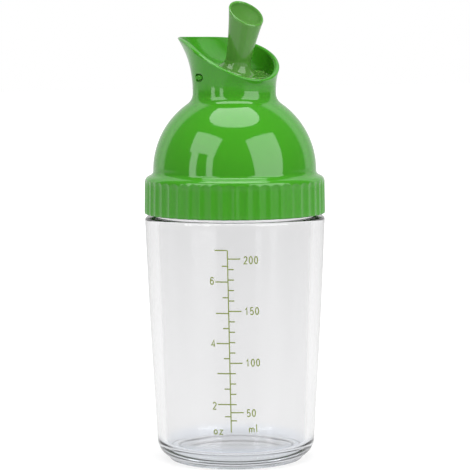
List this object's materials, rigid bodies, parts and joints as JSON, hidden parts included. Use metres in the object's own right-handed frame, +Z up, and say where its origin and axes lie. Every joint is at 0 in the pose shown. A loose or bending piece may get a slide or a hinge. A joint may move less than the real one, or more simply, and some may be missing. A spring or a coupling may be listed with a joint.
{
  "type": "salad dressing shaker",
  "caption": "Clear measuring cup with a screw-on green lid, pouring spout and a thumb lever that tilts the stopper in the neck.",
  "frame": {"origin": "on the cup's axis in the plane of its foot ring", "axes": "+Z up along the cup's axis, the spout points along -X, the stopper's hinge pin lies along Y"},
  "size_m": [0.0728, 0.0728, 0.1845],
  "materials": {
    "clear_plastic": "clear, polished moulding",
    "scale_ink": "printed ink film",
    "soft_seal": "translucent soft ring",
    "green_plastic": "polished moulding",
    "lever_plastic": "polished, slightly translucent moulding"
  },
  "bodies": {
    "cup": {"cup": "clear_plastic", "scale_print": "scale_ink"},
    "gasket": {"lid_gasket": "soft_seal"},
    "lid": {"lid": "green_plastic", "hinge_pin": "green_plastic"},
    "lever": {"lever": "lever_plastic", "stopper_seal": "soft_seal"}
  },
  "joints": [
    {"name": "lid_lift", "type": "slide", "parent": "cup", "child": "gasket", "axis": [0, 0, 1], "range_m": [0, 0.0161]},
    {"name": "lid_turn", "type": "hinge", "parent": "gasket", "child": "lid", "pos_m": [0, 0, 0.1125], "axis": [0, 0, 1], "range_deg": [0, 720]},
    {"name": "lever_tilt", "type": "hinge", "parent": "lid", "child": "lever", "pos_m": [0, 0, 0.15398], "axis": [0, 1, 0], "range_deg": [0, 48]}
  ],
  "couplings": [
    {"joint": "lid_lift", "follows": "lid_turn", "m_per_rad": 0.0012732}
  ]
}
